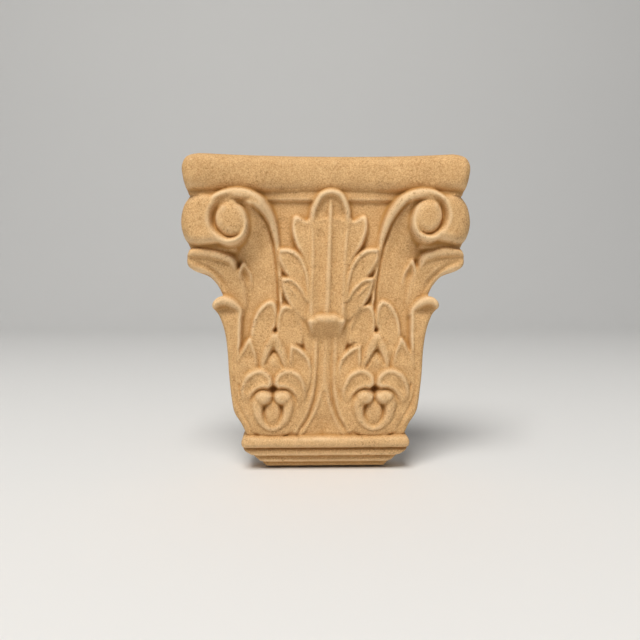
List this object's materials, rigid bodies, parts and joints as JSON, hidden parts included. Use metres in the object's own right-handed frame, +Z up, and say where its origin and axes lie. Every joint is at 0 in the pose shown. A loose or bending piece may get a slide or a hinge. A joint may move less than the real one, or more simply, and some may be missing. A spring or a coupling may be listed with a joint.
{
  "type": "pilaster capital onlay",
  "caption": "Small moulded wood onlay in the form of a Corinthian pilaster capital, with volutes, acanthus leaves and a flat back for gluing on.",
  "frame": {"origin": "middle of the flat back", "axes": "+Z up the capital from its base to its abacus, +Y out of the flat back, so the carved face looks towards -Y"},
  "size_m": [0.0724, 0.02, 0.0804],
  "materials": {
    "pressed_wood": "matt, unpainted, fine speckled grain"
  },
  "bodies": {
    "root": {"capital_onlay": "pressed_wood"}
  },
  "joints": []
}
